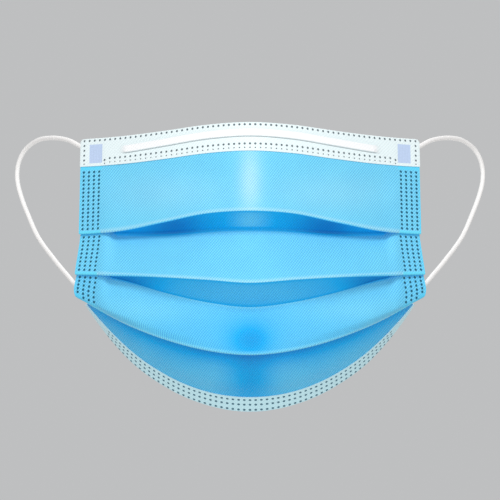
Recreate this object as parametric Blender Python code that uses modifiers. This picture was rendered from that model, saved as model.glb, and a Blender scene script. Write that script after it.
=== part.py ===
"""Pleated three-ply face mask with two ear loops, opened as it is worn.

The origin is on the inner wall, behind the middle of the nose wire. The front faces -Y, +X is to the right
seen from the front, and +Z is up. Sizes in the tables are millimetres, and everything built is in metres.
"""

import collections
import math

import bmesh
import bpy
from mathutils import Vector

MM = 0.001

# Walls and fits
CLOTH_WALL = 1.2
STRIP_WALL = 1.0
FIT_GAP = 0.35

# Sections across the cloth, and the width of the ridge in its middle as a share of the half width
STATIONS = 40
RIDGE_WIDTH = 0.2

# Strip over the top edge
TOP_FRONT = 13.2
TOP_BACK = 9.5

# Strip round the bottom edge
BOTTOM_FRONT = 9.0
BOTTOM_BACK = 7.0

# Flat nose wire in its channel
WIRE_WIDTH = 3.1
WIRE_THICK = 0.6
WIRE_HALF_LENGTH = 52.5
WIRE_DROP_MIDDLE = 3.4
WIRE_DROP_END = 4.9
CHANNEL_SLOPE = 0.8

# Share of a strip's wall that its outer corners lose
STRIP_ROUND = 0.4

# Elastic ear loop
LOOP_DIAMETER = 2.0
LOOP_STEP = 4.4
CURVE_STEPS = 20

# Edges sharper than this stay sharp in the shading
SHARP_ANGLE = math.radians(35)

# Each line across the cloth: its height in the middle, a quarter, half and three quarters of the way out, and at
# the side edge, its depth in the middle and at the side edge, its half width, the radius that it bends round in
# the middle, and how far the ridge there stands forward.
Line = collections.namedtuple("Line", "z_0 z_25 z_50 z_75 z_100 y_middle y_side half_width bend ridge")
LINES = {
    "top": Line(4.7, 3.6, 1.1, -1.1, -2.4, 0.5, 43.0, 73.0, 32, 2.0),
    "fold_1": Line(-33.4, -34.5, -38.3, -41.7, -43.2, -12.5, 25.0, 73.8, 34, 2.5),
    "crease_1": Line(-41.3, -41.7, -42.9, -43.8, -43.9, -6.0, 27.2, 73.6, 36, 2.0),
    "fold_2": Line(-64.2, -62.9, -61.8, -61.1, -60.6, -20.0, 18.0, 75.5, 42, 1.0),
    "crease_2": Line(-74.6, -72.5, -68.3, -62.9, -61.3, -12.5, 20.2, 75.4, 43, 0.5),
    "corner": Line(-90.5, -88.7, -84.0, -77.6, -69.8, -16.7, 17.2, 75.4, 45, -0.3),
    "fold_3": Line(-95.1, -93.4, -89.1, -82.4, -73.1, -17.5, 17.0, 70.3, 46, -0.5),
    "crease_3": Line(-96.6, -94.9, -90.5, -83.5, -73.3, -13.5, 19.2, 70.2, 47, -0.5),
    "chin": Line(-106.5, -104.4, -98.0, -87.7, -73.4, -4.5, 21.2, 70.1, 49, -0.5),
    "strip_3": Line(-113.4, -111.2, -104.2, -92.0, -73.5, 6.0, 23.4, 70.0, 50, -0.5),
    "bottom": Line(-119.8, -117.2, -109.7, -96.4, -73.7, 12.5, 32.2, 69.7, 50, 0.0),
}

# Route of the left ear loop, from its weld on the top strip round the ear to its weld in the lower corner
LOOP_ROUTE = [
    (-61.4, 35.8, -9.9),
    (-64.4, 38.5, -9.2),
    (-67.5, 41.3, -8.3),
    (-70.6, 44.3, -7.0),
    (-73.6, 48.2, -5.4),
    (-78.0, 55.5, -3.0),
    (-82.8, 64.0, -1.8),
    (-87.7, 72.0, -1.6),
    (-92.4, 79.3, -2.5),
    (-97.2, 85.8, -5.7),
    (-100.3, 89.0, -10.5),
    (-101.6, 90.2, -16.0),
    (-101.3, 89.2, -21.5),
    (-99.6, 86.0, -27.6),
    (-97.2, 81.0, -33.8),
    (-92.1, 69.0, -44.8),
    (-84.9, 50.0, -54.4),
    (-79.2, 34.5, -61.0),
    (-75.4, 24.6, -65.2),
    (-72.0, 19.2, -67.6),
    (-69.5, 17.1, -69.0),
]


def smooth_between(values, share):
    """Value at share, from 0 to 1, on a smooth curve through evenly spaced values, level at its start."""
    steps = len(values) - 1
    first = min(int(share * steps), steps - 1)
    t = share * steps - first
    before = values[first - 1] if first > 0 else values[1]
    past_end = 3 * values[-1] - 3 * values[-2] + values[-3]
    after = values[first + 2] if first + 2 <= steps else past_end
    start, end = values[first], values[first + 1]
    start_slope = (end - before) / 2
    end_slope = (after - start) / 2
    return (
        (2 * t**3 - 3 * t**2 + 1) * start
        + (t**3 - 2 * t**2 + t) * start_slope
        + (3 * t**2 - 2 * t**3) * end
        + (t**3 - t**2) * end_slope
    )


def line_point(name, across):
    """Point of a named line. across runs from -1 at the left side edge to 1 at the right one."""
    line = LINES[name]
    x = line.half_width * across
    back = (math.hypot(x, line.bend) - line.bend) / (math.hypot(line.half_width, line.bend) - line.bend)
    forward = line.ridge * math.exp(-((across / RIDGE_WIDTH) ** 2))
    y = line.y_middle + (line.y_side - line.y_middle) * back - forward
    z = smooth_between(line[:5], abs(across))
    return Vector((x, y, z))


def edge_point(edge, towards, across, inward, outward):
    """Point measured from an edge line: inward along the cloth to the next line, and outward off its front."""
    start = line_point(edge, across)
    along = (line_point(towards, across) - start).normalized()
    step = 0.5 / STATIONS
    tangent = line_point(edge, across + step) - line_point(edge, across - step)
    front = along.cross(tangent).normalized()
    if edge == "bottom":
        front.negate()
    return start + along * inward + front * outward


def top_point(across, inward, outward):
    return edge_point("top", "fold_1", across, inward, outward)


def bottom_point(across, inward, outward):
    return edge_point("bottom", "strip_3", across, inward, outward)


def stations(reach=1.0):
    """Places across the cloth, evenly spaced from -reach to reach."""
    count = round(STATIONS * reach)
    return [reach * (2 * i / count - 1) for i in range(count + 1)]


def new_object(name, collection, mesh):
    obj = bpy.data.objects.new(name, mesh)
    collection.objects.link(obj)
    return obj


def mesh_object(name, collection, rings, closed):
    """Loft through rings of points. A closed loft joins each ring's last point to its first and caps both ends."""
    build = bmesh.new()
    rows = [[build.verts.new(point * MM) for point in ring] for ring in rings]
    count = len(rows[0])
    for one, two in zip(rows, rows[1:]):
        for i in range(count if closed else count - 1):
            j = (i + 1) % count
            build.faces.new((one[i], one[j], two[j], two[i]))
    if closed:
        build.faces.new(rows[0][::-1])
        build.faces.new(rows[-1])
    bmesh.ops.recalc_face_normals(build, faces=build.faces)
    mesh = bpy.data.meshes.new(name)
    build.to_mesh(mesh)
    build.free()
    return new_object(name, collection, mesh)


def material(name, colour, roughness, metallic=0.0):
    made = bpy.data.materials.new(name)
    made.use_nodes = True
    shader = made.node_tree.nodes["Principled BSDF"]
    shader.inputs["Base Color"].default_value = (*colour, 1.0)
    shader.inputs["Roughness"].default_value = roughness
    shader.inputs["Metallic"].default_value = metallic
    return made


def smooth_shade(obj):
    obj.data.shade_smooth()
    obj.data.set_sharp_from_angle(angle=SHARP_ANGLE)


def mask_body(collection):
    """Pleated cloth: a sheet through every line, from under the top strip to inside the bottom one."""
    margin = STRIP_WALL + FIT_GAP
    folds = ["fold_1", "crease_1", "fold_2", "crease_2", "corner", "fold_3", "crease_3", "chin"]
    rings = []
    for across in stations():
        ring = [top_point(across, margin, 0), top_point(across, TOP_FRONT, 0)]
        ring += [line_point(name, across) for name in folds]
        ring += [bottom_point(across, BOTTOM_FRONT, 0), bottom_point(across, margin, 0)]
        rings.append(ring)
    obj = mesh_object("mask_body", collection, rings, closed=False)
    wall = obj.modifiers.new("Cloth wall", "SOLIDIFY")
    wall.thickness = CLOTH_WALL * MM
    wall.offset = -1.0
    wall.use_even_offset = True
    return obj


def strip_ring(point, across, front_length, back_length, channel=None):
    """Section of a strip folded over an edge. channel is where the nose wire lies and how far it lifts the front."""
    inner = FIT_GAP
    outer = inner + STRIP_WALL
    back_inner = -CLOTH_WALL - FIT_GAP
    back_outer = back_inner - STRIP_WALL
    round_off = STRIP_WALL * STRIP_ROUND
    front = [(front_length, 0)]
    if channel:
        upper, lower, lift = channel
        front += [(lower + CHANNEL_SLOPE, 0), (lower, lift), (upper, lift), (upper - CHANNEL_SLOPE, 0)]
    section = [(inward, outer + lift) for inward, lift in front]
    section += [(round_off, outer), (0, outer - round_off), (0, back_outer + round_off)]
    section += [(round_off, back_outer), (back_length, back_outer), (back_length, back_inner)]
    section += [(STRIP_WALL, back_inner), (STRIP_WALL, inner)]
    section += [(inward, inner + lift) for inward, lift in reversed(front)]
    return [point(across, inward, outward) for inward, outward in section]


def wire_edges(across):
    """Distances of the nose wire's upper and lower edges from the top edge of the mask."""
    share = (line_point("top", across).x / WIRE_HALF_LENGTH) ** 2
    upper = WIRE_DROP_MIDDLE + (WIRE_DROP_END - WIRE_DROP_MIDDLE) * min(share, 1)
    return upper, upper + WIRE_WIDTH


def wire_reach():
    """How far across the wire reaches, rounded to a station."""
    step = 2 / STATIONS
    return round(WIRE_HALF_LENGTH / LINES["top"].half_width / step) * step


def top_binding(collection):
    rings = []
    for across in stations():
        upper, lower = wire_edges(across)
        covered = abs(across) < wire_reach() + 0.5 / STATIONS
        lift = WIRE_THICK + FIT_GAP if covered else 0
        channel = (upper - FIT_GAP, lower + FIT_GAP, lift)
        rings.append(strip_ring(top_point, across, TOP_FRONT, TOP_BACK, channel))
    return mesh_object("top_binding", collection, rings, closed=True)


def nose_wire(collection):
    rings = []
    for across in stations(wire_reach()):
        upper, lower = wire_edges(across)
        corners = [(upper, FIT_GAP), (lower, FIT_GAP), (lower, FIT_GAP + WIRE_THICK), (upper, FIT_GAP + WIRE_THICK)]
        rings.append([top_point(across, inward, outward) for inward, outward in corners])
    return mesh_object("nose_wire", collection, rings, closed=True)


def bottom_binding(collection):
    rings = [strip_ring(bottom_point, across, BOTTOM_FRONT, BOTTOM_BACK) for across in stations()]
    return mesh_object("bottom_binding", collection, rings, closed=True)


def even_route(route, spacing):
    """Points at an even spacing along a smooth curve through the route."""
    fine = []
    for i in range(len(route) - 1):
        before = route[max(i - 1, 0)]
        after = route[min(i + 2, len(route) - 1)]
        for k in range(CURVE_STEPS):
            t = k / CURVE_STEPS
            weights = (
                (2 * t**2 - t - t**3) / 2,
                (3 * t**3 - 5 * t**2 + 2) / 2,
                (4 * t**2 + t - 3 * t**3) / 2,
                (t**3 - t**2) / 2,
            )
            points = (before, route[i], route[i + 1], after)
            fine.append(sum((p * w for p, w in zip(points, weights)), Vector()))
    fine.append(route[-1])
    lengths = [0.0]
    for one, two in zip(fine, fine[1:]):
        lengths.append(lengths[-1] + (two - one).length)
    count = round(lengths[-1] / spacing)
    even, at = [], 0
    for k in range(count + 1):
        goal = lengths[-1] * k / count
        while at < len(fine) - 2 and lengths[at + 1] < goal:
            at += 1
        share = (goal - lengths[at]) / (lengths[at + 1] - lengths[at])
        even.append(fine[at].lerp(fine[at + 1], share))
    return even


def ear_loop(name, collection, side):
    """Elastic cord. side is 1 for the loop at -X, and -1 for its mirror image at +X."""
    points = even_route([Vector((side * x, y, z)) for x, y, z in LOOP_ROUTE], LOOP_STEP)
    curve = bpy.data.curves.new(name, "CURVE")
    curve.dimensions = "3D"
    curve.bevel_depth = LOOP_DIAMETER / 2 * MM
    curve.bevel_resolution = 2
    curve.use_fill_caps = True
    spline = curve.splines.new("POLY")
    spline.points.add(len(points) - 1)
    for spline_point, point in zip(spline.points, points):
        spline_point.co = (*(point * MM), 1.0)
    return new_object(name, collection, curve)


def main():
    for old in list(bpy.data.objects):
        bpy.data.objects.remove(old)
    collection = bpy.data.collections.new("face_mask")
    bpy.context.scene.collection.children.link(collection)

    blue = material("blue nonwoven", (0.13, 0.60, 0.90), 0.85)
    white = material("white nonwoven", (0.86, 0.93, 0.97), 0.85)
    coated = material("coated wire", (0.90, 0.92, 0.93), 0.5)
    elastic = material("white elastic", (0.84, 0.80, 0.78), 0.8)

    body = mask_body(collection)
    smooth_shade(body)
    body.data.materials.append(blue)
    for binding in (top_binding(collection), bottom_binding(collection)):
        smooth_shade(binding)
        binding.data.materials.append(white)
    wire = nose_wire(collection)
    smooth_shade(wire)
    wire.data.materials.append(coated)
    for name, side in (("ear_loop_left", 1), ("ear_loop_right", -1)):
        ear_loop(name, collection, side).data.materials.append(elastic)


main()
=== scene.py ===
"""Looks of a pleated three-ply face mask: its cloth, bindings and ear loops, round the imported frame.

The file is laid out as an add-on with one operator for each piece. Run as a script, it registers them
and calls them in order. Tables are in millimetres, and everything built is in metres, in the frame's own
coordinates.
"""

import collections
import math

import bpy
import numpy as np
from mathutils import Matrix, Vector


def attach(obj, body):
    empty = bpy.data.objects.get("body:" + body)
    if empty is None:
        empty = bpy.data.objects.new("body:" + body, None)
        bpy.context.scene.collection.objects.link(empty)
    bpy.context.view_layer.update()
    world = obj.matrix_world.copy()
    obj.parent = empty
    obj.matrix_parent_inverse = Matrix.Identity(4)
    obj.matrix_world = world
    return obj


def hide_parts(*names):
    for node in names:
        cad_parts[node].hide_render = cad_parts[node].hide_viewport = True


bl_info = {
    "name": "Pleated face mask",
    "version": (1, 0, 0),
    "blender": (4, 5, 0),
    "location": "3D Viewport > Sidebar > Face mask",
    "description": "Builds the cloth, bindings and ear loops of a pleated face mask round its packed frame",
    "category": "Add Mesh",
}

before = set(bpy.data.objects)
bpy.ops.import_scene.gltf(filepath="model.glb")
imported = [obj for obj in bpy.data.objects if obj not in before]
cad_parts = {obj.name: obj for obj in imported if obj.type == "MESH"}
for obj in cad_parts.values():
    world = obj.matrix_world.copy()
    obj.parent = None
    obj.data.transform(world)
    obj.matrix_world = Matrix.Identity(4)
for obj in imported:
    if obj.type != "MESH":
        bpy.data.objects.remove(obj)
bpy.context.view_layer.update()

MM = 0.001

# Each line across the cloth: its height in the middle, a quarter, half and three quarters of the way out,
# and at the side edge, its depth in the middle and at the side edge, its half width, the radius that it
# bends round in the middle, how far the ridge there stands forward, and how far the cloth puffs out beside
# the side welds.
Line = collections.namedtuple("Line", "z_0 z_25 z_50 z_75 z_100 y_middle y_side half_width bend ridge puff")
LINES = {
    "top": Line(4.7, 3.6, 1.1, -1.1, -2.4, 0.5, 43.0, 73.0, 32, 2.0, 0.0),
    "fold_1": Line(-33.4, -34.5, -38.3, -41.7, -43.2, -12.5, 25.0, 73.8, 34, 2.5, 0.4),
    "crease_1": Line(-41.3, -41.7, -42.9, -43.3, -42.6, -6.0, 27.2, 73.6, 36, 2.0, 0.8),
    "fold_2": Line(-64.2, -62.9, -61.8, -61.1, -60.6, -20.0, 18.0, 75.5, 42, 1.0, 1.0),
    "crease_2": Line(-74.6, -72.5, -68.3, -62.8, -60.3, -12.5, 20.2, 75.4, 43, 0.5, 1.0),
    "corner": Line(-90.5, -88.7, -84.0, -77.6, -69.8, -16.7, 17.2, 75.4, 45, -0.3, 0.9),
    "fold_3": Line(-95.1, -93.4, -89.1, -82.4, -73.1, -17.5, 17.0, 70.3, 46, -0.5, 0.8),
    "chin": Line(-106.5, -104.4, -98.0, -87.7, -73.4, -4.5, 21.2, 70.1, 49, -0.5, 0.0),
    "strip_3": Line(-113.4, -111.2, -104.2, -92.0, -73.5, 6.0, 23.4, 70.2, 50, -0.5, 0.0),
    "bottom": Line(-119.8, -117.2, -109.7, -96.4, -73.7, 12.5, 32.2, 70.8, 50, 0.0, 0.0),
}
RIDGE_WIDTH = 0.2

# Each pleat, down the mask: the line of its outer fold, the line of its inner crease where it stands open,
# how far the crease lies above the fold, and how deep behind it, where there is no such line, the share of
# the half width where it starts to close, and the radii of both folds in the middle.
Pleat = collections.namedtuple("Pleat", "fold crease up back opens fold_round crease_round")
PLEATS = (
    Pleat("fold_1", "crease_1", 0, 0, 0.79, 0.45, 1.6),
    Pleat("fold_2", "crease_2", 0, 0, 0.79, 0.45, 0.7),
    Pleat("fold_3", None, 4.5, 5.0, 0.30, 0.5, 1.2),
)
CLOSED_FROM = 0.88
CORNER_FROM = 0.6

# Panels of cloth between the pleats: the lines below each one's top, the share of the panel at which each
# lies, and the heights at the side edge of its first and last row of welds with the number of rows.
Panel = collections.namedtuple("Panel", "lines shares weld_from weld_to weld_rows")
PANELS = (
    Panel(("fold_1",), (1.0,), -16.8, -41.3, 15),
    Panel(("fold_2",), (1.0,), -44.9, -58.9, 9),
    Panel(("corner", "fold_3"), (0.84, 1.0), -62.2, -70.9, 6),
    Panel(("chin", "strip_3", "bottom"), (0.46, 0.75, 1.0), None, None, 0),
)
LIP_SHARE = 0.3
LAST_PANEL = 12

# Route of the left ear loop in millimetres, as in the solid: from its weld behind the top strip round the
# ear to its weld in the lower corner. The right one is its mirror image.
LOOP_ROUTE = [
    (-61.4, 35.8, -9.9),
    (-64.4, 38.5, -9.2),
    (-67.5, 41.3, -8.3),
    (-70.6, 44.3, -7.0),
    (-73.6, 48.2, -5.4),
    (-78.0, 55.5, -3.0),
    (-82.8, 64.0, -1.8),
    (-87.7, 72.0, -1.6),
    (-92.4, 79.3, -2.5),
    (-97.2, 85.8, -5.7),
    (-100.3, 89.0, -10.5),
    (-101.6, 90.2, -16.0),
    (-101.3, 89.2, -21.5),
    (-99.6, 86.0, -27.6),
    (-97.2, 81.0, -33.8),
    (-92.1, 69.0, -44.8),
    (-84.9, 50.0, -54.4),
    (-79.2, 34.5, -61.0),
    (-75.4, 24.6, -65.2),
    (-72.0, 19.2, -67.6),
    (-69.5, 17.1, -69.0),
]


class MASK_PG_cloth(bpy.types.PropertyGroup):
    """Sizes and colours of the pleated cloth."""

    ply: bpy.props.FloatProperty(
        name="Cloth thickness",
        description="Thickness of the three plies together",
        default=0.0005,
        unit="LENGTH",
    )
    lip: bpy.props.FloatProperty(
        name="Pleat depth",
        description="Height of each closed pleat at the side welds",
        default=0.0086,
        unit="LENGTH",
    )
    outer: bpy.props.FloatVectorProperty(
        name="Outer ply",
        description="Colour of the outer ply",
        subtype="COLOR",
        size=3,
        default=(0.15, 0.61, 1.0),
    )
    inner: bpy.props.FloatVectorProperty(
        name="Inner ply",
        description="Colour of the inner ply",
        subtype="COLOR",
        size=3,
        default=(0.80, 0.86, 0.89),
    )
    weld: bpy.props.FloatVectorProperty(
        name="Weld dots",
        description="Colour of the melted dots",
        subtype="COLOR",
        size=3,
        default=(0.0, 0.11, 0.19),
    )


class MASK_PG_bindings(bpy.types.PropertyGroup):
    """Sizes and colours of the strips that bind the top and bottom edges."""

    ply: bpy.props.FloatProperty(
        name="Strip thickness",
        description="Thickness of one layer of a strip",
        default=0.0003,
        unit="LENGTH",
    )
    top_white: bpy.props.FloatVectorProperty(
        name="Top strip",
        description="Colour of the top strip",
        subtype="COLOR",
        size=3,
        default=(0.81, 0.92, 0.94),
    )
    bottom_white: bpy.props.FloatVectorProperty(
        name="Bottom strip",
        description="Colour of the bottom strip",
        subtype="COLOR",
        size=3,
        default=(0.60, 0.90, 1.0),
    )
    dot: bpy.props.FloatVectorProperty(
        name="Dots",
        description="Colour of the pressed dots",
        subtype="COLOR",
        size=3,
        default=(0.13, 0.17, 0.19),
    )


class MASK_PG_loops(bpy.types.PropertyGroup):
    """Sizes and colour of the elastic ear loops."""

    width: bpy.props.FloatProperty(
        name="Loop diameter", description="Diameter of the round elastic", default=0.002, unit="LENGTH"
    )
    colour: bpy.props.FloatVectorProperty(
        name="Elastic",
        description="Colour of the elastic",
        subtype="COLOR",
        size=3,
        default=(1.0, 0.95, 0.92),
    )


class MASK_PG_stage(bpy.types.PropertyGroup):
    """Light and camera."""

    key_watts: bpy.props.FloatProperty(
        name="Key light", description="Power of the light above the camera", default=16.5, unit="POWER"
    )
    fill_watts: bpy.props.FloatProperty(
        name="Fill light", description="Power of the lights below and behind", default=16.5, unit="POWER"
    )
    view_width: bpy.props.FloatProperty(
        name="View width", description="Width of the picture at the mask", default=0.215, unit="LENGTH"
    )
    camera_distance: bpy.props.FloatProperty(
        name="Camera distance",
        description="Distance of the camera from the mask",
        default=6.0,
        unit="LENGTH",
    )


# Shape of the cloth


def smooth_step(low, high, value):
    t = np.clip((value - low) / (high - low), 0, 1)
    return t * t * (3 - 2 * t)


def unit(vectors):
    return vectors / np.maximum(np.linalg.norm(vectors, axis=-1, keepdims=True), 1e-12)


def smooth_between(values, share):
    """Values on a smooth curve through evenly spaced ones, level at its start, for an array of shares."""
    values = np.array(values, float)
    steps = len(values) - 1
    past_end = 3 * values[-1] - 3 * values[-2] + values[-3]
    padded = np.concatenate([[values[1]], values, [past_end]])
    first = np.minimum((share * steps).astype(int), steps - 1)
    t = share * steps - first
    before, start, end, after = (padded[first + k] for k in range(4))
    start_slope = (end - before) / 2
    end_slope = (after - start) / 2
    return (
        (2 * t**3 - 3 * t**2 + 1) * start
        + (t**3 - 2 * t**2 + t) * start_slope
        + (3 * t**2 - 2 * t**3) * end
        + (t**3 - t**2) * end_slope
    )


def line_points(name, across):
    """Points of a named line, one for each value of across, from -1 at the left side to 1 at the right."""
    line = LINES[name]
    x = line.half_width * across
    back = (np.hypot(x, line.bend) - line.bend) / (math.hypot(line.half_width, line.bend) - line.bend)
    forward = line.ridge * np.exp(-((across / RIDGE_WIDTH) ** 2))
    puffed = line.puff * (1 - smooth_step(CLOSED_FROM - 0.035, CLOSED_FROM + 0.005, abs(across)))
    y = line.y_middle + (line.y_side - line.y_middle) * back - forward - puffed
    return np.stack([x, y, smooth_between(line[:5], abs(across))], axis=1)


class ClothSection:
    """The path of the cloth from the top edge to the bottom one, at each of many places across it."""

    def __init__(self, across, lip, spacing):
        self.across = across
        self.pieces = []
        top = line_points("top", across)
        start = top
        over = None
        for pleat, panel in zip((*PLEATS, None), PANELS):
            lines = [line_points(name, across) for name in panel.lines]
            knots, shares = [start], [0.0]
            if over is not None:
                opened = start + (lines[0] - start) * LIP_SHARE
                knots.append(over * self.closed + opened * (1 - self.closed))
                shares.append(LIP_SHARE)
            if pleat is None:
                self.pieces.append(("panel", knots + lines, shares + list(panel.shares)))
                break
            fold = lines[-1]
            along = knots[-1]
            if len(lines) > 1:
                beside = smooth_step(CORNER_FROM, CLOSED_FROM, abs(across))[:, None]
                along = lines[-2] * (1 - beside) + along * beside
            up = unit(along - fold)
            back = unit(np.cross(up, np.gradient(fold, across, axis=0)))
            self.closed = smooth_step(pleat.opens, CLOSED_FROM, abs(across))[:, None]
            fold_round = spacing / 2 * self.closed + pleat.fold_round * (1 - self.closed)
            crease_round = spacing / 2 * self.closed + pleat.crease_round * (1 - self.closed)
            fold_centre = fold + (up + back) * fold_round
            if pleat.crease:
                open_centre = line_points(pleat.crease, across) - up * crease_round * 0.3
            else:
                open_centre = fold_centre + up * pleat.up + back * pleat.back
            shut_centre = fold_centre + up * lip + back * (fold_round + crease_round)
            crease_centre = open_centre + (shut_centre - open_centre) * self.closed
            over = fold + up * fold_round + back * 2 * (fold_round + crease_round)
            next_line = line_points(PANELS[PLEATS.index(pleat) + 1].lines[0], across)
            below = crease_centre + (next_line - crease_centre) * LIP_SHARE
            below = over * self.closed + below * (1 - self.closed)
            centres = fold_centre, crease_centre, below
            turn_in, turn_out = self.turns(*centres, fold_round, crease_round, up, back)
            fold_start = fold + up * fold_round
            self.pieces.append(("panel", knots + lines[:-1] + [fold_start], shares + list(panel.shares)))
            quarter = np.full_like(turn_in, math.pi / 2)
            fold_arc = ("arc", fold_centre, fold_round, up, back, -2 * quarter, turn_in - quarter)
            crease_arc = ("arc", crease_centre, crease_round, up, back, turn_in + quarter, turn_out + quarter)
            self.pieces.append(fold_arc)
            self.pieces.append(("line", self.on_arc(fold_arc, 1.0), self.on_arc(crease_arc, 0.0)))
            self.pieces.append(crease_arc)
            start = self.on_arc(crease_arc, 1.0)

    @staticmethod
    def turns(fold_centre, crease_centre, below, fold_round, crease_round, up, back):
        """Angles, from the direction back, at which the cloth leaves a fold and then the crease after it."""

        def bearing(vector, room):
            rise, depth = (vector * up).sum(axis=1), (vector * back).sum(axis=1)
            away = np.maximum(np.hypot(rise, depth), 1e-6)
            return np.arctan2(rise, depth), np.arcsin(np.clip(room[:, 0] / away, -1, 1))

        level, lean = bearing(crease_centre - fold_centre, fold_round + crease_round)
        down, tuck = bearing(below - crease_centre, crease_round)
        turn_out = down - tuck
        turn_out = np.where(turn_out > level + lean, turn_out - 2 * math.pi, turn_out)
        return level + lean, turn_out

    @staticmethod
    def on_arc(arc, share):
        _, centre, radius, up, back, begin, end = arc
        angle = (begin + (end - begin) * share)[:, None]
        return centre + radius * (np.cos(angle) * back + np.sin(angle) * up)

    def at(self, piece, share):
        """Points of one piece of the path at a share of its length, one for each place across."""
        kind, *parts = self.pieces[piece]
        if kind == "arc":
            return self.on_arc(self.pieces[piece], share)
        if kind == "line":
            return parts[0] + (parts[1] - parts[0]) * share
        knots, shares = parts
        i = min(max(np.searchsorted(shares, share, side="right") - 1, 0), len(shares) - 2)

        def slope(k):
            low, high = max(k - 1, 0), min(k + 1, len(shares) - 1)
            return (knots[high] - knots[low]) / (shares[high] - shares[low])

        span = shares[i + 1] - shares[i]
        t = (share - shares[i]) / span
        return (
            (2 * t**3 - 3 * t**2 + 1) * knots[i]
            + (t**3 - 2 * t**2 + t) * span * slope(i)
            + (3 * t**2 - 2 * t**3) * knots[i + 1]
            + (t**3 - t**2) * span * slope(i + 1)
        )

    def rows(self, plan):
        return np.array([self.at(piece, share) for piece, share in plan])


# Meshes

Spot = collections.namedtuple("Spot", "row column outside inside size")
AROUND = ((-1, -1), (0, -1), (1, -1), (1, 0), (1, 1), (0, 1), (-1, 1), (-1, 0))
# Rings of a pressed dot, from its rim to its floor: the share of the dot's radius, and of its depth
SPOT_RINGS = ((1.25, 0.0), (1.0, 0.25), (0.72, 1.0))
OUTSIDE, INSIDE, SPOT_OUTSIDE, SPOT_INSIDE, PRESSED = range(5)


def surface_frame(grid):
    """Unit vectors down the rows, along the columns and out of the front, for a grid of points."""
    down = np.gradient(grid, axis=0)
    along = np.gradient(grid, axis=1)
    out = unit(np.cross(down, along))
    along = unit(along)
    return unit(np.cross(along, out)), along, out


def sheet_object(name, mid, flat, tone, thick, spots, radius, depth, pressed=()):
    """Closed wall of one thickness round a grid of points, with pressed dots. flat holds the cloth's own
    coordinates, tone the painted highlight or painted shade of each point, and pressed the quads that are
    stamped flat."""
    rows, columns = mid.shape[:2]
    down, along, out = surface_frame(mid)
    sides = {1: mid + out * thick / 2, -1: mid - out * thick / 2}
    points = [p for sign in (1, -1) for p in sides[sign].reshape(-1, 3)]
    places = [p for sign in (1, -1) for p in flat.reshape(-1, 2)]
    painted_lights = [*tone.ravel(), *tone.ravel()]
    faces, slots = [], []

    def corner(sign, i, j):
        return (0 if sign > 0 else rows * columns) + i * columns + j

    def add(sign, face, slot):
        faces.append(face if sign > 0 else face[::-1])
        slots.append(slot)

    pressed = set(pressed)
    for sign in (1, -1):
        here = [s for s in spots if (s.outside if sign > 0 else s.inside)]
        taken = {(s.row + i, s.column + j) for s in here for i in (-1, 0) for j in (-1, 0)}
        for i in range(rows - 1):
            for j in range(columns - 1):
                if (i, j) in taken:
                    continue
                slot = OUTSIDE if sign > 0 else INSIDE
                if sign > 0 and (i, j) in pressed:
                    slot = PRESSED
                around = ((i, j), (i + 1, j), (i + 1, j + 1), (i, j + 1))
                add(sign, tuple(corner(sign, *place) for place in around), slot)
        for s in here:
            centre = sides[sign][s.row, s.column]
            d, a, o = (frame_part[s.row, s.column] for frame_part in (down, along, out))
            outer = [corner(sign, s.row + i, s.column + j) for i, j in AROUND]
            for ring, (wide, deep) in enumerate(SPOT_RINGS):
                first = len(points)
                for i, j in AROUND:
                    reach = radius * wide * s.size / math.hypot(i, j)
                    points.append(centre + (d * i + a * j) * reach - o * sign * depth * deep)
                    places.append(flat[s.row, s.column] + np.array([j, -i]) * reach)
                    painted_lights.append(tone[s.row, s.column])
                inner = list(range(first, first + len(AROUND)))
                for k in range(len(AROUND)):
                    n = (k + 1) % len(AROUND)
                    slot = (OUTSIDE, SPOT_OUTSIDE) if sign > 0 else (INSIDE, SPOT_INSIDE)
                    add(sign, (outer[k], outer[n], inner[n], inner[k]), slot[ring > 0])
                outer = inner
            add(sign, tuple(outer), SPOT_OUTSIDE if sign > 0 else SPOT_INSIDE)

    def close(one, other):
        """Wall between both sides along one step of the sheet's edge."""
        add(1, (corner(1, *one), corner(1, *other), corner(-1, *other), corner(-1, *one)), INSIDE)

    for j in range(columns - 1):
        close((0, j), (0, j + 1))
        close((rows - 1, j + 1), (rows - 1, j))
    for i in range(rows - 1):
        close((i + 1, 0), (i, 0))
        close((i, columns - 1), (i + 1, columns - 1))
    return mesh_object(name, points, places, painted_lights, faces, slots)


def mesh_object(name, points, places, painted_lights, faces, slots):
    """Object from points and flat places in millimetres, the painted light of each point, faces and slots,
    with no spare points.
    """
    used = np.zeros(len(points), bool)
    used[[v for face in faces for v in face]] = True
    number = np.cumsum(used) - 1
    mesh = bpy.data.meshes.new(name)
    places_3d = (np.array(points)[used] * MM).tolist()
    mesh.from_pydata(places_3d, [], [[int(number[v]) for v in face] for face in faces])
    flat_places = mesh.uv_layers.new(name="Flat")
    corners = np.array([places[v] for face in faces for v in face]) * MM
    flat_places.data.foreach_set("uv", corners.ravel())
    # Painted highlight and shade of each point, which the cloth's shader mixes into its colour
    mesh.attributes.new("tone", "FLOAT", "POINT").data.foreach_set("value", np.array(painted_lights, float)[used])
    mesh.polygons.foreach_set("material_index", slots)
    mesh.shade_smooth()
    mesh.set_sharp_from_angle(angle=math.radians(60))
    obj = bpy.data.objects.new(name, mesh)
    bpy.context.scene.collection.objects.link(obj)
    return obj


def give_materials(obj, *materials):
    for material in materials:
        obj.data.materials.append(material)


# Finishes


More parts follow.
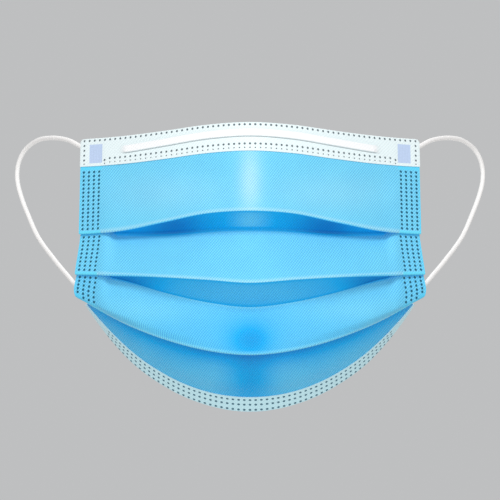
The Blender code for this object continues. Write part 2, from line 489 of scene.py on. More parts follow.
class Finish:
    """A material that is built up node by node round one Principled shader."""

    def __init__(self, name, roughness, sheen=0.0, specular=0.5):
        self.material = bpy.data.materials.new(name)
        self.material.use_nodes = True
        self.tree = self.material.node_tree
        self.shader = self.tree.nodes["Principled BSDF"]
        self.shader.inputs["Roughness"].default_value = roughness
        self.shader.inputs["Specular IOR Level"].default_value = specular
        self.shader.inputs["Sheen Weight"].default_value = sheen
        self.shader.inputs["Sheen Roughness"].default_value = 0.5

    def node(self, kind, *inputs, **settings):
        made = self.tree.nodes.new("ShaderNode" + kind)
        for name, value in settings.items():
            setattr(made, name, value)
        for socket, value in zip(made.inputs, inputs):
            if isinstance(value, bpy.types.NodeSocket):
                self.tree.links.new(value, socket)
            elif value is not None:
                socket.default_value = value
        return made

    def math(self, operation, *inputs):
        return self.node("Math", *inputs, operation=operation).outputs[0]

    def clamped(self, value, times, plus):
        """A value times one number plus another, kept between 0 and 1."""
        return self.node("Math", value, times, plus, operation="MULTIPLY_ADD", use_clamp=True).outputs[0]

    def wave(self, along, pitch):
        """Wave from 0 to 1 with its crests a pitch apart."""
        turned = self.math("MULTIPLY", along, 2 * math.pi / pitch)
        return self.math("MULTIPLY_ADD", self.math("SINE", turned), 0.5, 0.5)

    def noise(self, vector, scale, detail=2.0, roughness=0.5):
        return self.node("TexNoise", vector, None, scale, detail, roughness).outputs["Fac"]

    def blend(self, share, one, two):
        mixed = self.node("Mix", data_type="RGBA")
        self.tree.links.new(share, mixed.inputs[0])
        for socket, value in ((mixed.inputs[6], one), (mixed.inputs[7], two)):
            if isinstance(value, bpy.types.NodeSocket):
                self.tree.links.new(value, socket)
            else:
                socket.default_value = (*value, 1.0)
        return mixed.outputs[2]

    def colour(self, value):
        self.tree.links.new(value, self.shader.inputs["Base Color"])

    def bump(self, height, strength, distance):
        made = self.node("Bump", strength, distance)
        self.tree.links.new(height, made.inputs["Height"])
        self.tree.links.new(made.outputs["Normal"], self.shader.inputs["Normal"])


def shade(colour, times):
    return tuple(min(c * times, 1.0) for c in colour)


HATCH_WEIGHTS = (1.4, 1.0, 0.4)
BOND_PITCH = 1.05
BOND_ANGLE = math.radians(50)
TICK_PITCH = 0.95


def hatched(colour, side):
    """Colour of the pale or the dark lines of the cloth, where blue changes least."""
    return tuple(min(c * (1 + side * weight), 1.0) for c, weight in zip(colour, HATCH_WEIGHTS))


def nonwoven(name, colour, depth, contrast, roughness, sheen, painted_lights=None, specular=0.3):
    """Spunbond cloth: rows of bond points that read as fine diagonal lines, with random fibres between.
    tones are its colours of painted highlight, painted shade and deepest painted shade."""
    finish = Finish(name, roughness, sheen, specular)
    place = finish.node("TexCoord").outputs["UV"]
    parts = finish.node("SeparateXYZ", place)
    u = finish.math("MULTIPLY", parts.outputs[0], 1 / MM)
    v = finish.math("MULTIPLY", parts.outputs[1], 1 / MM)
    drift = finish.math("MULTIPLY", finish.noise(place, 120.0), 0.5)
    sine, cosine = math.sin(BOND_ANGLE), math.cos(BOND_ANGLE)
    across = finish.math("MULTIPLY_ADD", v, cosine, finish.math("MULTIPLY_ADD", u, -sine, drift))
    along = finish.math("MULTIPLY_ADD", v, sine, finish.math("MULTIPLY_ADD", u, cosine, drift))
    lines = finish.wave(across, BOND_PITCH)
    ticks = finish.wave(along, TICK_PITCH)
    fibres = finish.noise(place, 2200.0, 3.0, 0.6)
    cloud = finish.noise(place, 60.0, 3.0, 0.6)
    height = finish.math("MULTIPLY_ADD", ticks, 0.3, finish.math("MULTIPLY", lines, 0.6))
    height = finish.math("MULTIPLY_ADD", fibres, 0.3, height)
    share = finish.math("MULTIPLY_ADD", cloud, 0.2, finish.math("MULTIPLY", height, 0.8))
    # Painted light: the colours of painted highlight, painted shade and deepest painted shade are mixed in by
    # each point's attribute
    if painted_lights:
        tone = finish.node("Attribute", attribute_name="tone").outputs["Fac"]
        lighter, deeper, deepest = painted_lights
        shares = [finish.clamped(tone, 1, 0), finish.clamped(tone, -1, 0), finish.clamped(tone, -1, -1)]
        ends = []
        for side in (-contrast, contrast):
            mixed = finish.blend(shares[0], hatched(colour, side), hatched(lighter, side))
            mixed = finish.blend(shares[1], mixed, hatched(deeper, side))
            ends.append(finish.blend(shares[2], mixed, hatched(deepest, side)))
        finish.colour(finish.blend(share, *ends))
    else:
        finish.colour(finish.blend(share, hatched(colour, -contrast), hatched(colour, contrast)))
    finish.bump(height, 0.8, depth)
    return finish.material


def melted(name, colour, roughness):
    """Film of a melted weld dot."""
    finish = Finish(name, roughness)
    place = finish.node("TexCoord").outputs["Object"]
    grain = finish.noise(place, 4000.0, 2.0)
    finish.colour(finish.blend(grain, shade(colour, 0.7), shade(colour, 1.3)))
    finish.bump(grain, 0.3, 0.00005)
    return finish.material


def stamped(name, colour):
    """Square stamped with a fine waffle, where an ear loop is welded on."""
    finish = Finish(name, 0.45)
    place = finish.node("TexCoord").outputs["UV"]
    parts = finish.node("SeparateXYZ", place)
    ribs = [finish.wave(finish.math("MULTIPLY", parts.outputs[k], 1 / MM), 0.7) for k in (0, 1)]
    waffle = finish.math("MULTIPLY", *ribs)
    finish.colour(finish.blend(waffle, shade(colour, 0.92), shade(colour, 1.05)))
    finish.bump(waffle, 0.5, 0.0001)
    return finish.material


def knitted(name, colour):
    """Knitted elastic, with the fine fuzz of its yarn over the wales that its mesh has."""
    finish = Finish(name, 0.75, sheen=0.3)
    place = finish.node("TexCoord").outputs["Object"]
    fuzz = finish.noise(place, 5000.0, 3.0, 0.6)
    finish.colour(finish.blend(fuzz, shade(colour, 0.88), shade(colour, 1.1)))
    finish.bump(fuzz, 0.4, 0.0001)
    return finish.material


def enamelled(name, colour):
    """Thin plastic coat on the nose wire."""
    finish = Finish(name, 0.4)
    place = finish.node("TexCoord").outputs["Object"]
    grain = finish.noise(place, 900.0, 2.0)
    finish.colour(finish.blend(grain, shade(colour, 0.93), shade(colour, 1.05)))
    finish.bump(grain, 0.1, 0.00005)
    return finish.material


# Cloth

WELD_FIRST = 1.6
WELD_STEP = 2.28
WELD_COLUMNS = 4
HALF_CLOTH = 75.0
FLAT_HALF = 87.5
PANEL_SLOPE = 1.12
CLOTH_START = 0.03
HIDDEN_GAP = 0.2
SPOT_RADIUS = 0.5

# Soft wrinkles of the panels: the length of each wave, its direction in the front view, its phase and its
# height
Ripple = collections.namedtuple("Ripple", "length turn phase height")
RIPPLES = (
    Ripple(52, 80, 0.4, 0.30),
    Ripple(37, 15, 2.1, 0.20),
    Ripple(27, 62, 4.0, 0.14),
    Ripple(19, 118, 1.3, 0.10),
    Ripple(13, 95, 5.2, 0.06),
)
RIPPLE_AXIS = (0.0, 90.0)


def rippled(grid, amount):
    """The grid with soft wrinkles, which are the same on every ply at one place."""
    x, y, z = np.moveaxis(grid, -1, 0)
    rise = np.zeros_like(x)
    for ripple in RIPPLES:
        turn = math.radians(ripple.turn)
        run = (x * math.cos(turn) + z * math.sin(turn)) * 2 * math.pi / ripple.length
        rise += ripple.height * np.sin(run + ripple.phase)
    outward = unit(np.stack([x - RIPPLE_AXIS[0], y - RIPPLE_AXIS[1], np.zeros_like(z)], axis=-1))
    return grid + outward * (rise * amount)[..., None]


def run_down(mid):
    """Length of the cloth down each column of a grid, from its first row."""
    run = np.zeros(mid.shape[:2])
    run[1:] = np.cumsum(np.linalg.norm(np.diff(mid, axis=0), axis=2), axis=0)
    return run


def cloth_columns():
    """Places across the cloth from -1 at the left edge to 1 at the right, close together at the welds."""
    welds = WELD_FIRST + WELD_STEP / 2 * np.arange(-1, 2 * WELD_COLUMNS)
    inner = np.linspace(welds[-1], HALF_CLOTH, 52)[1:]
    half = 1 - np.concatenate([[0.0], welds, inner]) / HALF_CLOTH
    return np.concatenate([-half, half[::-1][1:]])


def evenly(section, piece, start, end, pitch):
    """Shares of a piece from start to end, without start, at most a pitch apart."""
    length = np.linalg.norm(section.at(piece, end) - section.at(piece, start), axis=1).max()
    return np.linspace(start, end, max(int(length / pitch), 1) + 1)[1:]


def cloth_plan(section, weld_column):
    """Rows of the cloth down its path, as piece and share, the rows of welds, and the painted light of each
    row.
    """
    plan = [(0, CLOTH_START)]
    painted_lights = [0.0]
    welded = []

    def add(piece, shares, tone):
        plan.extend((piece, share) for share in shares)
        painted_lights.extend([tone] * len(shares))

    for number, panel in enumerate(PANELS):
        piece = 4 * number
        start = CLOTH_START if number == 0 else 0.0
        if panel.weld_rows:
            shares = np.linspace(0, 1, 201)
            heights = [section.at(piece, share)[weld_column, 2] for share in shares]
            step = (panel.weld_to - panel.weld_from) / (2 * panel.weld_rows - 2)
            wanted = panel.weld_from + step * np.arange(-1, 2 * panel.weld_rows)
            near_welds = np.interp(-wanted, -np.array(heights), shares)
            add(piece, evenly(section, piece, start, near_welds[0], 1.6)[:-1], 0.0)
            welded.extend(range(len(plan) + 1, len(plan) + len(near_welds) - 1, 2))
            add(piece, near_welds, 0.0)
            start = near_welds[-1]
        add(piece, evenly(section, piece, start, 1.0, 0.7 if panel.weld_rows else 1.6), 0.0)
        # Painted highlight along each fold's edge and round the fold, and painted shade inside the pleat on
        # its return ply and crease, fading out below it
        if panel.weld_rows:
            painted_lights[-2:] = [0.3, 0.5]
            add(piece + 1, np.arange(1, 7) / 6, 0.5)
            painted_lights[-3:] = [0.2, -0.5, -1.0]
            add(piece + 2, np.arange(1, 8) / 8, -1.0)
            add(piece + 3, np.arange(0, 7) / 6, -1.0)
            painted_lights[-3:] = [-0.6, -0.3, 0.0]
    return plan, welded, painted_lights


# Colours of the outer ply for its painted highlight, painted shade and deepest painted shade; the colour of
# its welded edges, and the same three painted colours for them
BLUE_PAINTED_LIGHT = (0.42, 0.82, 1.0), (0.0, 0.41, 0.95), (0.0, 0.14, 0.50)
FUSED_BLUE = (0.12, 0.68, 1.0)
FUSED_PAINTED_LIGHT = (0.22, 0.88, 1.0), (0.0, 0.32, 0.78), (0.0, 0.13, 0.42)

# How deep the painted shadow is below each pleat's fold, how far down it fades, and how far down at the side
# welds
Under = collections.namedtuple("Under", "tone fade side_fade")
PAINTED_SHADOW_UNDER_FOLDS = {4: Under(0.5, 4.0, 0.9), 8: Under(0.7, 0.9, 0.9), 12: Under(1.3, 5.0, 4.0)}
# Soft patches of painted highlight and painted shade: the pieces of the path that they lie on, their place on
# both sides of the middle and their size in the front view, and their tone, lighter or deeper
Patch = collections.namedtuple("Patch", "pieces x z wide high tone")
PAINTED_LIGHT_PATCHES = (
    Patch((0,), 0, -20, 4.5, 15, 0.75),
    Patch((0,), 34, -26, 26, 9, 0.2),
    Patch((2,), 0, -38, 7, 6, 0.75),
    Patch((1, 2, 3), 33, -40, 14, 7, -0.8),
    Patch((4,), 0, -56, 70, 12, -0.12),
    Patch((6,), 0, -69, 42, 9, 0.42),
    Patch((5, 6, 7), 54, -64, 13, 5, -0.8),
    Patch((8,), 0, -89, 10, 8, -0.8),
    Patch((8,), 0, -84, 70, 30, -0.45),
    Patch((9,), 0, -95, 70, 30, -0.5),
    Patch((8,), 42, -76, 24, 6, 0.25),
    Patch((12,), 0, -108, 11, 11, -0.7),
    Patch((12,), 14, -101, 9, 7, 0.2),
    Patch((12,), 0, -98, 90, 40, -0.3),
)


def cloth_painted_light(plan, row_painted_light, mid, across):
    """Painted light of every point: painted highlight along the folds, painted shade inside the pleats,
    painted shadow under each fold, and the patches of painted highlight and shade.
    """
    edge = abs(across)[None, :]
    tone = np.array(row_painted_light)[:, None] * np.where(edge > CLOSED_FROM, 0.5, 1.0)
    pieces = np.array([piece for piece, _ in plan])
    # Painted shadow just below each pleat's fold
    for piece, under in PAINTED_SHADOW_UNDER_FOLDS.items():
        fold = line_points(PLEATS[piece // 4 - 1].fold, across)[None, :, 2]
        rows = (pieces == piece) | (pieces == piece - 1)
        below = np.maximum(fold - mid[rows][..., 2], 0)
        fade = under.fade + (under.side_fade - under.fade) * smooth_step(0.75, CLOSED_FROM, edge)
        tone[rows] = tone[rows] - under.tone * np.exp(-below / fade)
    for patch in PAINTED_LIGHT_PATCHES:
        rows = np.isin(pieces, patch.pieces)
        beside = (abs(mid[rows][..., 0]) - patch.x) / patch.wide
        above = (mid[rows][..., 2] - patch.z) / patch.high
        tone[rows] += patch.tone * np.exp(-(beside**2) - above**2)
    return tone


def build_cloth(options):
    across = cloth_columns()
    spacing = options.ply / MM + HIDDEN_GAP
    section = ClothSection(across, options.lip / MM, spacing)
    plan, welded, row_painted_light = cloth_plan(section, WELD_COLUMNS)
    mid = section.rows(plan)
    run = run_down(mid)
    edge = abs(across)[None, :]
    middle = 1 - smooth_step(0.76, 0.9, edge)
    from_top = smooth_step(9, 20, -mid[..., 2])
    from_bottom = smooth_step(8, 18, run[-1] - run)
    mid = rippled(mid, middle * from_top * from_bottom)
    flat = np.stack(np.broadcast_arrays(across[None, :] * FLAT_HALF, mid[..., 2] * PANEL_SLOPE), axis=-1)
    # Painted highlights and painted shade of every point of the cloth
    tone = cloth_painted_light(plan, row_painted_light, mid, across)
    last = len(across) - 1
    spots = []
    for row in welded:
        for k in range(2, 2 * WELD_COLUMNS + 1, 2):
            if row == welded[-1] and k == 2:
                continue
            spots += [Spot(row, k, True, True, 1.0), Spot(row, last - k, True, True, 1.0)]
    fused = 2 * WELD_COLUMNS + 1
    welded_rows = [i for i, (piece, _) in enumerate(plan) if piece < LAST_PANEL]
    pressed = {(i, j) for i in welded_rows for j in (*range(fused), *range(last - fused, last))}
    thick = options.ply / MM
    cloth = sheet_object("pleated_cloth", mid, flat, tone, thick, spots, SPOT_RADIUS, thick * 0.3, pressed)
    outer, inner = tuple(options.outer), tuple(options.inner)
    give_materials(
        cloth,
        nonwoven("outer_blue", outer, 0.00022, 0.36, 0.5, 0.0, BLUE_PAINTED_LIGHT),
        nonwoven("inner_white", inner, 0.00012, 0.06, 0.6, 0.15),
        melted("weld_blue", tuple(options.weld), 0.35),
        melted("weld_inner", shade(inner, 0.72), 0.4),
        nonwoven("fused_blue", FUSED_BLUE, 0.00008, 0.10, 0.4, 0.0, FUSED_PAINTED_LIGHT),
    )
    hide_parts("mask_body")
    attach(cloth, "root")


# Strips

STRIP_OFFSET = 0.45
STRIP_TURN = 0.6
TURN_ANGLES = np.radians([30, 60, 90, 120, 150])
BACK_ROWS = (0.6, 1.6, 3.2, 4.8, 6.4)


def beside_cloth(section, piece, from_bottom, inward, outward):
    """Points beside one panel: inward along the cloth from an edge of it and outward from its middle."""
    shares = np.linspace(0, 0.6, 120)
    grid = section.rows([(piece, 1 - share if from_bottom else share) for share in shares])
    out = surface_frame(grid)[2] * (-1 if from_bottom else 1)
    run = run_down(grid)
    points = np.empty((*inward.shape, 3))
    for j in range(grid.shape[1]):
        for k in range(3):
            place = np.interp(inward[:, j], run[:, j], grid[:, j, k])
            points[:, j, k] = place + outward[:, j] * np.interp(inward[:, j], run[:, j], out[:, j, k])
    return points


def folded_strip(front, back_depth):
    """Distances inward and outward of a strip that is folded over an edge, from its front's first row,
    round the edge and up its back."""
    columns = front.shape[1]
    turn_in = STRIP_TURN - STRIP_OFFSET * np.sin(TURN_ANGLES)
    turn_out = STRIP_OFFSET * np.cos(TURN_ANGLES)
    back = np.array([row for row in BACK_ROWS if row < back_depth - 0.8] + [back_depth])
    inward = np.concatenate([front, *[np.full((1, columns), v) for v in (*turn_in, *back)]])
    outward = np.concatenate([np.full(front.shape, STRIP_OFFSET)]
                             + [np.full((1, columns), v) for v in turn_out]
                             + [np.full((1, columns), -STRIP_OFFSET)] * len(back))
    return inward, outward


def section_at(across):
    """The path of the cloth at places across it, for a strip that follows it."""
    cloth = bpy.context.scene.mask_cloth
    return ClothSection(across, cloth.lip / MM, cloth.ply / MM + HIDDEN_GAP)


def strip_flat(mid, columns_at):
    return np.stack(np.broadcast_arrays(columns_at[None, :], -run_down(mid)), axis=-1)


# Colours of the top strip's painted highlight over the nose wire, its painted shadow in the line below it,
# and a deeper painted shade
WHITE_PAINTED_LIGHT = (1.0, 1.0, 1.0), (0.42, 0.47, 0.50), (0.3, 0.33, 0.35)
TOP_PITCH = 2.2266
TOP_CORNER_DOT = 64
SQUARE_FROM, SQUARE_TO = 57, 62
LOWER_ROWS_TO = 56
TOP_ROUND = 1.3
WIRE_RAISE = 0.7
WIRE_SLOPE = 0.8
WIRE_HALF = 52.5
# Distance of the wire from the strip's edge in the middle, how much more it is at the wire's ends, and its
# width
WIRE_BELOW, WIRE_SINK, WIRE_WIDE = 3.4, 1.5, 3.1
SQUARE_PRESS = 0.12
TOP_BACK = 9.5
# Rows of the top strip's front, inward from its edge, at the nose wire, at the weld squares and at the
# corners, where wire rows are given from the wire's upper edge
TOP_ROWS = (0.6, 1.2, 1.8, *[None] * 7, 9.4, 10.0, 10.6, 11.25, 11.8, 12.35, 13.2)
WIRE_ROWS = (-0.8, -0.2, 0.3, 1.55, 2.95, 3.2, 3.6)
SQUARE_ROWS = (0.6, 1.2, 1.9, 3.0, 3.3, 4.6, 5.75, 6.9, 8.05, 8.9, 9.8, 10.7, 11.6, 11.9, 12.3, 12.75, 13.2)
CORNER_ROWS = (0.6, 1.2, 2.35, 3.45, 4.0, 4.6, 5.75, 6.9, 8.05, 8.6, 9.2, 10.35, 10.9, 11.5, 12.1, 12.6, 13.2)
UPPER_ROW, LOWER_ROW, FAINT_ROW = 1, 11, 14
CORNER_SPOTS = (1, 3, 6, 8, 11, 14)
SQUARE_TOP, SQUARE_BOTTOM = 3, 13


def build_top_strip(options):
    half_pitch = TOP_PITCH / 2
    numbers = np.arange(-TOP_CORNER_DOT - 1, TOP_CORNER_DOT + 2)
    half_width = LINES["top"].half_width
    columns_at = np.concatenate([[-half_width], numbers * half_pitch, [half_width]])
    order = np.concatenate([[numbers[0] - 1], numbers, [numbers[-1] + 1]])
    across = columns_at / half_width
    section = section_at(across)
    out_of_middle = np.minimum((columns_at / WIRE_HALF) ** 2, 1)
    wire_top = WIRE_BELOW + WIRE_SINK * out_of_middle
    front = np.empty((len(TOP_ROWS), len(across)))
    for i, row in enumerate(TOP_ROWS):
        front[i] = wire_top + WIRE_ROWS[i - 3] if row is None else row
    square = (abs(order) >= SQUARE_FROM - 1) & (abs(order) <= SQUARE_TO)
    corner = abs(order) > SQUARE_TO
    front[:, square] = np.array(SQUARE_ROWS)[:, None]
    front[:, corner] = np.array(CORNER_ROWS)[:, None]
    inward, outward = folded_strip(front[::-1], TOP_BACK)
    rows = len(TOP_ROWS)
    over_wire = smooth_step(-WIRE_SLOPE, 0.25, inward - wire_top) * (
        1 - smooth_step(WIRE_WIDE - 0.1, WIRE_WIDE + 0.1, inward - wire_top)
    )
    along_wire = 1 - smooth_step(WIRE_HALF + 0.3, WIRE_HALF + 3.3, abs(columns_at))
    outward[:rows] += (WIRE_RAISE * over_wire * along_wire)[:rows]
    stamped_rows = slice(rows - SQUARE_BOTTOM, rows - SQUARE_TOP)
    stamped_columns = (abs(order) >= SQUARE_FROM) & (abs(order) <= SQUARE_TO)
    outward[stamped_rows, stamped_columns] -= SQUARE_PRESS
    ends = np.maximum(TOP_ROUND - (half_width - abs(columns_at)), 0)
    rounding = TOP_ROUND - np.sqrt(np.maximum(TOP_ROUND**2 - ends**2, 0))
    inward = np.maximum(inward, 0) + rounding * np.clip(1 - inward / 9, 0, 1)
    mid = beside_cloth(section, 0, False, inward, outward)[::-1]
    first = len(mid) - rows
    tone = np.zeros(mid.shape[:2])
    # Painted highlight on the raised nose wire, and a painted shadow line just below it
    tone[first + 5 : first + 8] = along_wire
    tone[first + 8] = -1.0 * along_wire
    spots = []
    for j, number in enumerate(order):
        if number % 2 or abs(number) > TOP_CORNER_DOT:
            continue
        if abs(number) == TOP_CORNER_DOT:
            at_rows = CORNER_SPOTS
        elif abs(number) <= LOWER_ROWS_TO:
            at_rows = (UPPER_ROW, LOWER_ROW, FAINT_ROW)
        else:
            at_rows = (UPPER_ROW,)
        for row in at_rows:
            spots.append(Spot(first + row, j, True, False, 0.62 if row == FAINT_ROW else 1.0))
    in_square = [j for j in range(len(order) - 1) if stamped_columns[j] and stamped_columns[j + 1]]
    pressed = {(first + i, j) for i in range(SQUARE_TOP, SQUARE_BOTTOM) for j in in_square}
    thick = options.ply / MM
    flat = strip_flat(mid, columns_at)
    strip = sheet_object("top_strip", mid, flat, tone, thick, spots, 0.43, 0.14, pressed)
    white = tuple(options.top_white)
    give_materials(
        strip,
        nonwoven("top_white", white, 0.00012, 0.05, 0.6, 0.1, WHITE_PAINTED_LIGHT),
        nonwoven("top_white_back", shade(white, 0.97), 0.00010, 0.035, 0.6, 0.1),
        melted("top_dots", tuple(options.dot), 0.45),
        melted("top_dots_back", shade(white, 0.7), 0.5),
        stamped("stamped_square", (0.56, 0.69, 0.93)),
    )
    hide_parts("top_binding")
    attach(strip, "root")


BOTTOM_PITCH = 2.43
BOTTOM_ROWS = (0.75, 1.35, 1.95, 2.8, 3.7, 4.3, 4.9, 5.7, 6.5, 7.1, 7.7, 8.4, 9.0)
BOTTOM_SPOTS = (1, 5, 9)
BOTTOM_BACK = 7.0
DOTS_TO = 0.88


def build_bottom_strip(options):
    fine = np.linspace(-1, 1, 801)
    edge = line_points("bottom", fine)
    run = np.concatenate([[0], np.cumsum(np.hypot(np.diff(edge[:, 0]), np.diff(edge[:, 2])))])
    count = 2 * int(run[-1] / BOTTOM_PITCH / 2)
    columns_at = np.linspace(0, run[-1], 2 * count + 1)
    across = np.interp(columns_at, run, fine)
    section = section_at(across)
    front = np.repeat(np.array(BOTTOM_ROWS[::-1])[:, None], len(across), axis=1)
    inward, outward = folded_strip(front, BOTTOM_BACK)
    mid = beside_cloth(section, LAST_PANEL, True, inward, outward)
    rows = len(BOTTOM_ROWS)
    dotted = [j for j in range(2, len(across) - 2, 2) if abs(across[j]) < DOTS_TO]
    spots = [Spot(rows - 1 - row, j, True, False, 1.0) for j in dotted for row in BOTTOM_SPOTS]
    flat, tone = strip_flat(mid, columns_at), np.zeros(mid.shape[:2])
    strip = sheet_object("bottom_strip", mid, flat, tone, options.ply / MM, spots, 0.5, 0.14)
    white = tuple(options.bottom_white)
    give_materials(
        strip,
        nonwoven("bottom_white", white, 0.00012, 0.06, 0.6, 0.1),
        nonwoven("bottom_white_back", shade(white, 0.97), 0.00010, 0.05, 0.6, 0.1),
        melted("bottom_dots", (0.07, 0.19, 0.26), 0.45),
        melted("bottom_dots_back", shade(white, 0.7), 0.5),
        melted("bottom_pressed", white, 0.5),
    )
    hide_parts("bottom_binding")
    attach(strip, "root")


# Ear loops

LOOP_STEP = 1.0
LOOP_SIDES = 30
LOOP_WALES = 10
TAB_LENGTH = 9.0
TAB_THIN, TAB_WIDE = 0.35, 1.45
# How far each end of a loop is pressed towards the cloth that it is welded to, and the cloth's direction
# there
UPPER_SHIFT, LOWER_SHIFT = 3.1, 2.2
UPPER_WALL, LOWER_WALL = (-0.6, -0.73, 0.32), (-0.5, -0.83, 0.25)


def loop_path(side):
    """Even points along the route of one loop, pressed to the cloth at both ends, with how flat it is."""
    route = np.array(LOOP_ROUTE)
    ends = np.vstack([2 * route[0] - route[1], route, 2 * route[-1] - route[-2]])
    dense = []
    for a, b, c, d in zip(ends, ends[1:], ends[2:], ends[3:]):
        for t in np.linspace(0, 1, 12, endpoint=False):
            bend, turn = 2 * a - 5 * b + 4 * c - d, 3 * b - a - 3 * c + d
            dense.append(0.5 * (2 * b + (c - a) * t + bend * t**2 + turn * t**3))
    dense = np.array([*dense, route[-1]])
    run = np.concatenate([[0], np.cumsum(np.linalg.norm(np.diff(dense, axis=0), axis=1))])
    even = np.linspace(0, run[-1], int(run[-1] / LOOP_STEP) + 1)
    path = np.stack([np.interp(even, run, dense[:, k]) for k in range(3)], axis=1)
    upper = 1 - smooth_step(TAB_LENGTH - 3, TAB_LENGTH + 4, even)
    lower = 1 - smooth_step(TAB_LENGTH - 4, TAB_LENGTH + 2, run[-1] - even)
    path = path + upper[:, None] * unit(np.array(UPPER_WALL)) * UPPER_SHIFT
    path = path + lower[:, None] * unit(np.array(LOWER_WALL)) * LOWER_SHIFT
    mirror = np.array([-side, 1, 1])
    walls = unit(np.array([UPPER_WALL, LOWER_WALL])) * mirror
    return path * mirror, np.maximum(upper, lower), walls, run[-1]


def loop_frames(path, walls):
    """Normals carried along a path without twist, then turned evenly so that both ends face their walls."""
    along = unit(np.gradient(path, axis=0))
    normals = []
    normal = walls[0]
    for direction in along:
        normal = normal - direction * normal.dot(direction)
        normal = normal / np.linalg.norm(normal)
        normals.append(normal)
    goal = walls[1] - along[-1] * walls[1].dot(along[-1])
    twist = math.atan2(np.cross(normals[-1], goal).dot(along[-1]), normals[-1].dot(goal))
    twist = (twist + math.pi / 2) % math.pi - math.pi / 2
    turned = []
    for i, (normal, direction) in enumerate(zip(normals, along)):
        angle = twist * i / (len(normals) - 1)
        turned.append(normal * math.cos(angle) + np.cross(direction, normal) * math.sin(angle))
    return np.array(turned), along


def build_loop(options, name, node, side):
    path, flattened, walls, length = loop_path(side)
    normals, along = loop_frames(path, walls)
    beside = np.cross(along, normals)
    radius = options.width / MM / 2
    points, places = [], []
    for i in range(len(path)):
        thin = 1 + (TAB_THIN - 1) * flattened[i]
        wide = 1 + (TAB_WIDE - 1) * flattened[i]
        knit = 1 + 0.02 * math.cos(math.pi * i)
        for k in range(LOOP_SIDES):
            angle = 2 * math.pi * k / LOOP_SIDES
            reach = radius * knit * (0.955 + 0.045 * math.cos(angle * LOOP_WALES))
            up, out = math.cos(angle) * thin * reach, math.sin(angle) * wide * reach
            points.append(path[i] + normals[i] * up + beside[i] * out)
            places.append((i * LOOP_STEP, k * 2 * math.pi * radius / LOOP_SIDES))
    faces = []
    last = (len(path) - 1) * LOOP_SIDES
    for ring in range(0, last, LOOP_SIDES):
        after = ring + LOOP_SIDES
        for k in range(LOOP_SIDES):
            n = (k + 1) % LOOP_SIDES
            faces.append((ring + k, ring + n, after + n, after + k))
    faces.append(tuple(range(LOOP_SIDES))[::-1])
    faces.append(tuple(range(last, last + LOOP_SIDES)))
    loop = mesh_object(name, points, places, [0.0] * len(points), faces, [0] * len(faces))
    give_materials(loop, knitted("elastic_" + name, tuple(options.colour)))
    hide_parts(node)
    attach(loop, "root")


# Stage


def aim(obj, target):
    direction = Vector(target) - obj.location
    obj.rotation_euler = direction.to_track_quat("-Z", "Y").to_euler()


def area_light(name, watts, place, size, target):
    bpy.ops.object.light_add(type="AREA", location=place)
    light = bpy.context.object
    light.name = name
    light.data.shape = "DISK"
    light.data.size = size
    light.data.energy = watts
    aim(light, target)
    return light


VIEW_HEIGHT = -0.0503
FLOOR_HEIGHT = -0.5
FLOOR_SIZE = 2.4


class MASK_OT_stage(bpy.types.Operator):
    """Camera, lights, pale surroundings and floor"""

    bl_idname = "mask.stage"
    bl_label = "Stage"

    def execute(self, context):
        options = context.scene.mask_stage
        scene = context.scene
        scene.view_settings.view_transform = "Standard"
        distance = options.camera_distance
        bpy.ops.object.camera_add(location=(0, -distance, VIEW_HEIGHT), rotation=(math.pi / 2, 0, 0))
        camera = context.object
        camera.name = "front_camera"
        camera.data.lens = camera.data.sensor_width * distance / options.view_width
        camera.data.clip_end = 100
        scene.camera = camera
        target = (0, 0.02, VIEW_HEIGHT)
        area_light("key_light", options.key_watts, (0, -1.15, 1.45), 0.6, target)
        area_light("fill_light", options.fill_watts, (0, -1.9, -0.6), 1.2, target)
        area_light("back_light", options.fill_watts, (0, 1.6, 1.1), 1.3, target)
        world = bpy.data.worlds.new("pale_room")
        world.use_nodes = True
        world.node_tree.nodes["Background"].inputs["Color"].default_value = (0.86, 0.87, 0.88, 1)
        world.node_tree.nodes["Background"].inputs["Strength"].default_value = 0.6
        scene.world = world
        bpy.ops.mesh.primitive_plane_add(size=FLOOR_SIZE, location=(0, 0, FLOOR_HEIGHT))
        floor = context.object
        floor.name = "pale_floor"
        finish = Finish("pale_floor", 0.8)
        grain = finish.noise(finish.node("TexCoord").outputs["Object"], 30.0)
        finish.colour(finish.blend(grain, (0.62, 0.61, 0.60), (0.66, 0.65, 0.64)))
        give_materials(floor, finish.material)
        return {"FINISHED"}


class MASK_OT_loops(bpy.types.Operator):
    """Round elastic ear loops, flattened where they are welded on"""

    bl_idname = "mask.loops"
    bl_label = "Ear loops"

    def execute(self, context):
        options = context.scene.mask_loops
        build_loop(options, "elastic_left", "ear_loop_left", -1)
        build_loop(options, "elastic_right", "ear_loop_right", 1)
        return {"FINISHED"}


class MASK_OT_cloth(bpy.types.Operator):
    """Three-ply cloth with its pleats and side welds"""

    bl_idname = "mask.cloth"
    bl_label = "Pleated cloth"

    def execute(self, context):
        build_cloth(context.scene.mask_cloth)
        return {"FINISHED"}


class MASK_OT_top_strip(bpy.types.Operator):
    """White strip folded over the top edge and the nose wire"""

    bl_idname = "mask.top_strip"
    bl_label = "Top strip"

    def execute(self, context):
        build_top_strip(context.scene.mask_bindings)
        return {"FINISHED"}


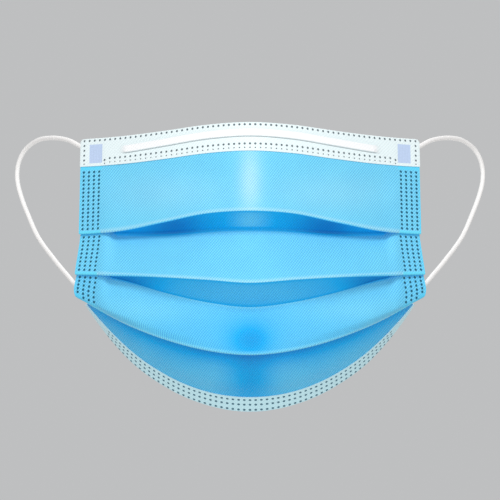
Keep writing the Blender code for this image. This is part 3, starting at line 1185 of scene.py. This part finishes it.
class MASK_OT_bottom_strip(bpy.types.Operator):
    """Pale strip folded over the bottom edge"""

    bl_idname = "mask.bottom_strip"
    bl_label = "Bottom strip"

    def execute(self, context):
        build_bottom_strip(context.scene.mask_bindings)
        return {"FINISHED"}


class MASK_OT_nose_wire(bpy.types.Operator):
    """Finish of the coated wire under the top strip"""

    bl_idname = "mask.nose_wire"
    bl_label = "Nose wire"

    def execute(self, context):
        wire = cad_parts["nose_wire"]
        material = enamelled("wire_coat", (0.86, 0.88, 0.88))
        for place in wire.material_slots:
            place.material = material
        return {"FINISHED"}


PIECES = (
    MASK_OT_stage,
    MASK_OT_loops,
    MASK_OT_cloth,
    MASK_OT_top_strip,
    MASK_OT_bottom_strip,
    MASK_OT_nose_wire,
)
OPTIONS = {
    "mask_cloth": MASK_PG_cloth,
    "mask_bindings": MASK_PG_bindings,
    "mask_loops": MASK_PG_loops,
    "mask_stage": MASK_PG_stage,
}


class MASK_PT_builder(bpy.types.Panel):
    """Sizes and colours of the mask, and a button for each of its pieces"""

    bl_label = "Face mask"
    bl_idname = "MASK_PT_builder"
    bl_space_type = "VIEW_3D"
    bl_region_type = "UI"
    bl_category = "Face mask"

    def draw(self, context):
        for name, group in OPTIONS.items():
            box = self.layout.box()
            for option in group.__annotations__:
                box.prop(getattr(context.scene, name), option)
        for piece in PIECES:
            self.layout.operator(piece.bl_idname)


def register():
    for kind in (*OPTIONS.values(), *PIECES, MASK_PT_builder):
        bpy.utils.register_class(kind)
    for name, group in OPTIONS.items():
        setattr(bpy.types.Scene, name, bpy.props.PointerProperty(type=group))


def unregister():
    for name in OPTIONS:
        delattr(bpy.types.Scene, name)
    for kind in reversed((*OPTIONS.values(), *PIECES, MASK_PT_builder)):
        bpy.utils.unregister_class(kind)


def main():
    register()
    bpy.ops.mask.stage()
    bpy.ops.mask.loops()
    bpy.ops.mask.cloth()
    bpy.ops.mask.top_strip()
    bpy.ops.mask.bottom_strip()
    bpy.ops.mask.nose_wire()


if __name__ == "__main__":
    main()
